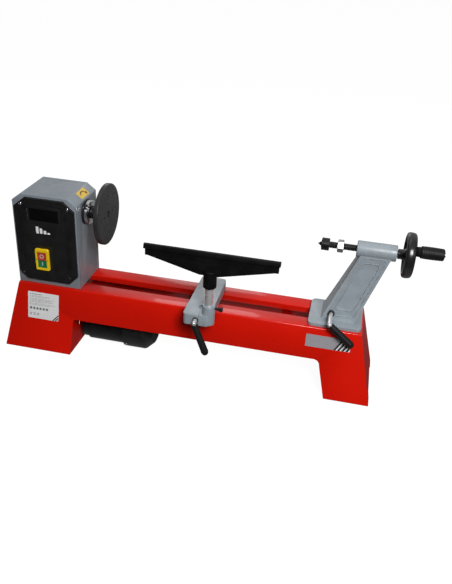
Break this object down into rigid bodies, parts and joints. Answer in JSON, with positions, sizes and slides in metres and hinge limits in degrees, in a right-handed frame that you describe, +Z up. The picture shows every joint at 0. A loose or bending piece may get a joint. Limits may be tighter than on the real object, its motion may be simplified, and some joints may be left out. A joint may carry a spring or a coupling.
{
  "type": "wood lathe",
  "caption": "Bench wood lathe with a folded sheet bed on splayed legs, boxed headstock with faceplate, tool rest, and slanted-arm tailstock with hand-cranked centre.",
  "frame": {"origin": "on the floor under the middle of the lathe's bounding box", "axes": "+X from headstock to tailstock along the spindle line, +Y away from the operator, +Z up"},
  "size_m": [1.044, 0.2614, 0.4396],
  "materials": {
    "red_paint": "gloss enamel",
    "grey_paint": "satin enamel",
    "black_paint": "semi-gloss black",
    "black_plastic": "moulded",
    "rubber_black": "soft grip",
    "chrome": "bright plated",
    "steel": "machined",
    "cast_iron": "blackened, machined face",
    "yellow_plastic": "moulded",
    "red_plastic": "moulded",
    "green_plastic": "moulded",
    "dark_glass": "smoked clear",
    "belt_rubber": "ribbed belt"
  },
  "bodies": {
    "bed": {"bed_front_panel": "red_paint", "bed_rear_panel": "red_paint", "end_plate_left": "red_paint", "end_plate_right": "red_paint", "motor_side_plate": "red_paint", "bed_tie_left": "red_paint", "bed_tie_right": "red_paint", "headstock_housing": "grey_paint", "front_panel": "black_plastic", "panel_screw_upper_left": "chrome", "panel_screw_upper_right": "chrome", "panel_screw_lower_left": "black_paint", "panel_screw_lower_right": "black_paint", "speed_window": "dark_glass", "switch_frame": "yellow_plastic", "switch_body": "black_plastic", "bearing_front": "steel", "bearing_rear": "steel", "drive_belt": "belt_rubber", "motor_end_bell": "black_paint", "motor_housing": "black_paint", "motor_fan_cover": "black_plastic", "capacitor_box": "black_plastic", "motor_bolt_front": "chrome", "motor_bolt_rear": "chrome"},
    "spindle": {"spindle_shaft": "steel", "spindle_pulley": "steel", "spindle_collar": "chrome", "faceplate": "cast_iron"},
    "motor_rotor": {"motor_shaft": "steel", "motor_pulley": "steel", "cooling_fan": "black_plastic"},
    "start_switch": {"start_button": "green_plastic"},
    "stop_switch": {"stop_button": "red_plastic"},
    "belt_access_door": {"belt_door": "grey_paint", "belt_door_latch": "black_plastic"},
    "rest_clamp": {"rest_clamp_bolt": "steel", "rest_clamp_shoe": "steel", "rest_clamp_nut": "chrome"},
    "rest_carriage": {"rest_base": "grey_paint", "rest_bush": "black_paint"},
    "rest_lever": {"rest_lever_shaft": "chrome", "rest_lever_grip": "rubber_black"},
    "rest_lock": {"rest_lock_knob": "black_plastic"},
    "rest_riser": {"rest_post": "chrome"},
    "rest_blade": {"tool_rest": "black_paint"},
    "tailstock": {"tailstock_casting": "grey_paint", "tail_bush": "black_paint", "tail_clamp_bolt": "steel", "tail_clamp_shoe": "steel", "tail_clamp_nut": "chrome"},
    "tail_lever": {"tail_lever_shaft": "chrome", "tail_lever_grip": "rubber_black"},
    "centre_point": {"live_centre": "black_paint"},
    "feed": {"feed_screw": "black_paint", "lock_nut": "chrome", "handwheel": "black_plastic", "crank_axle": "steel"},
    "crank": {"crank_grip": "rubber_black"}
  },
  "joints": [
    {"name": "spindle_spin", "type": "hinge", "parent": "bed", "child": "spindle", "pos_m": [-0.26411, 0.03192, 0.3646], "axis": [1, 0, 0], "continuous": true},
    {"name": "motor_spin", "type": "hinge", "parent": "bed", "child": "motor_rotor", "pos_m": [-0.33501, 0.03192, 0.064], "axis": [1, 0, 0], "continuous": true},
    {"name": "start_press", "type": "slide", "parent": "bed", "child": "start_switch", "axis": [0, 1, 0], "range_m": [0, 0.003], "stiffness_N_per_m": 500, "springref_m": -0.001},
    {"name": "stop_press", "type": "slide", "parent": "bed", "child": "stop_switch", "axis": [0, 1, 0], "range_m": [0, 0.003], "stiffness_N_per_m": 500, "springref_m": -0.001},
    {"name": "belt_door_open", "type": "hinge", "parent": "bed", "child": "belt_access_door", "pos_m": [-0.48521, 0.07712, 0.254], "axis": [0, 0, -1], "range_deg": [0, 110]},
    {"name": "rest_slide", "type": "slide", "parent": "bed", "child": "rest_clamp", "axis": [1, 0, 0], "range_m": [-0.12, 0.12]},
    {"name": "rest_cross", "type": "slide", "parent": "rest_clamp", "child": "rest_carriage", "axis": [0, 1, 0], "range_m": [-0.02, 0.03]},
    {"name": "rest_lever_turn", "type": "hinge", "parent": "rest_carriage", "child": "rest_lever", "pos_m": [-0.00551, -0.10688, 0.192], "axis": [0, 1, 0], "range_deg": [-60, 60]},
    {"name": "rest_lock_turn", "type": "hinge", "parent": "rest_carriage", "child": "rest_lock", "pos_m": [0.03749, -0.08988, 0.22], "axis": [1, 0, 0], "range_deg": [-360, 90]},
    {"name": "rest_height", "type": "slide", "parent": "rest_carriage", "child": "rest_riser", "axis": [0, 0, 1], "range_m": [-0.045, 0.02]},
    {"name": "rest_swivel", "type": "hinge", "parent": "rest_riser", "child": "rest_blade", "pos_m": [0.02099, -0.08988, 0.3], "axis": [0, 0, 1], "range_deg": [-60, 60]},
    {"name": "tailstock_slide", "type": "slide", "parent": "bed", "child": "tailstock", "axis": [1, 0, 0], "range_m": [-0.2, 0]},
    {"name": "tail_lever_turn", "type": "hinge", "parent": "tailstock", "child": "tail_lever", "pos_m": [0.29879, -0.00088, 0.2025], "axis": [0, 1, 0], "range_deg": [-75, 20]},
    {"name": "centre_feed", "type": "slide", "parent": "tailstock", "child": "centre_point", "axis": [1, 0, 0], "range_m": [0, 0.026]},
    {"name": "handwheel_turn", "type": "hinge", "parent": "centre_point", "child": "feed", "pos_m": [0.45249, 0.03192, 0.3646], "axis": [1, 0, 0], "range_deg": [0, 3744]},
    {"name": "crank_spin", "type": "hinge", "parent": "feed", "child": "crank", "pos_m": [0.49349, 0.00312, 0.389], "axis": [1, 0, 0], "continuous": true}
  ],
  "couplings": [
    {"joint": "motor_spin", "follows": "spindle_spin", "ratio": 2.3846},
    {"joint": "centre_feed", "follows": "handwheel_turn", "m_per_rad": 0.00039789}
  ]
}
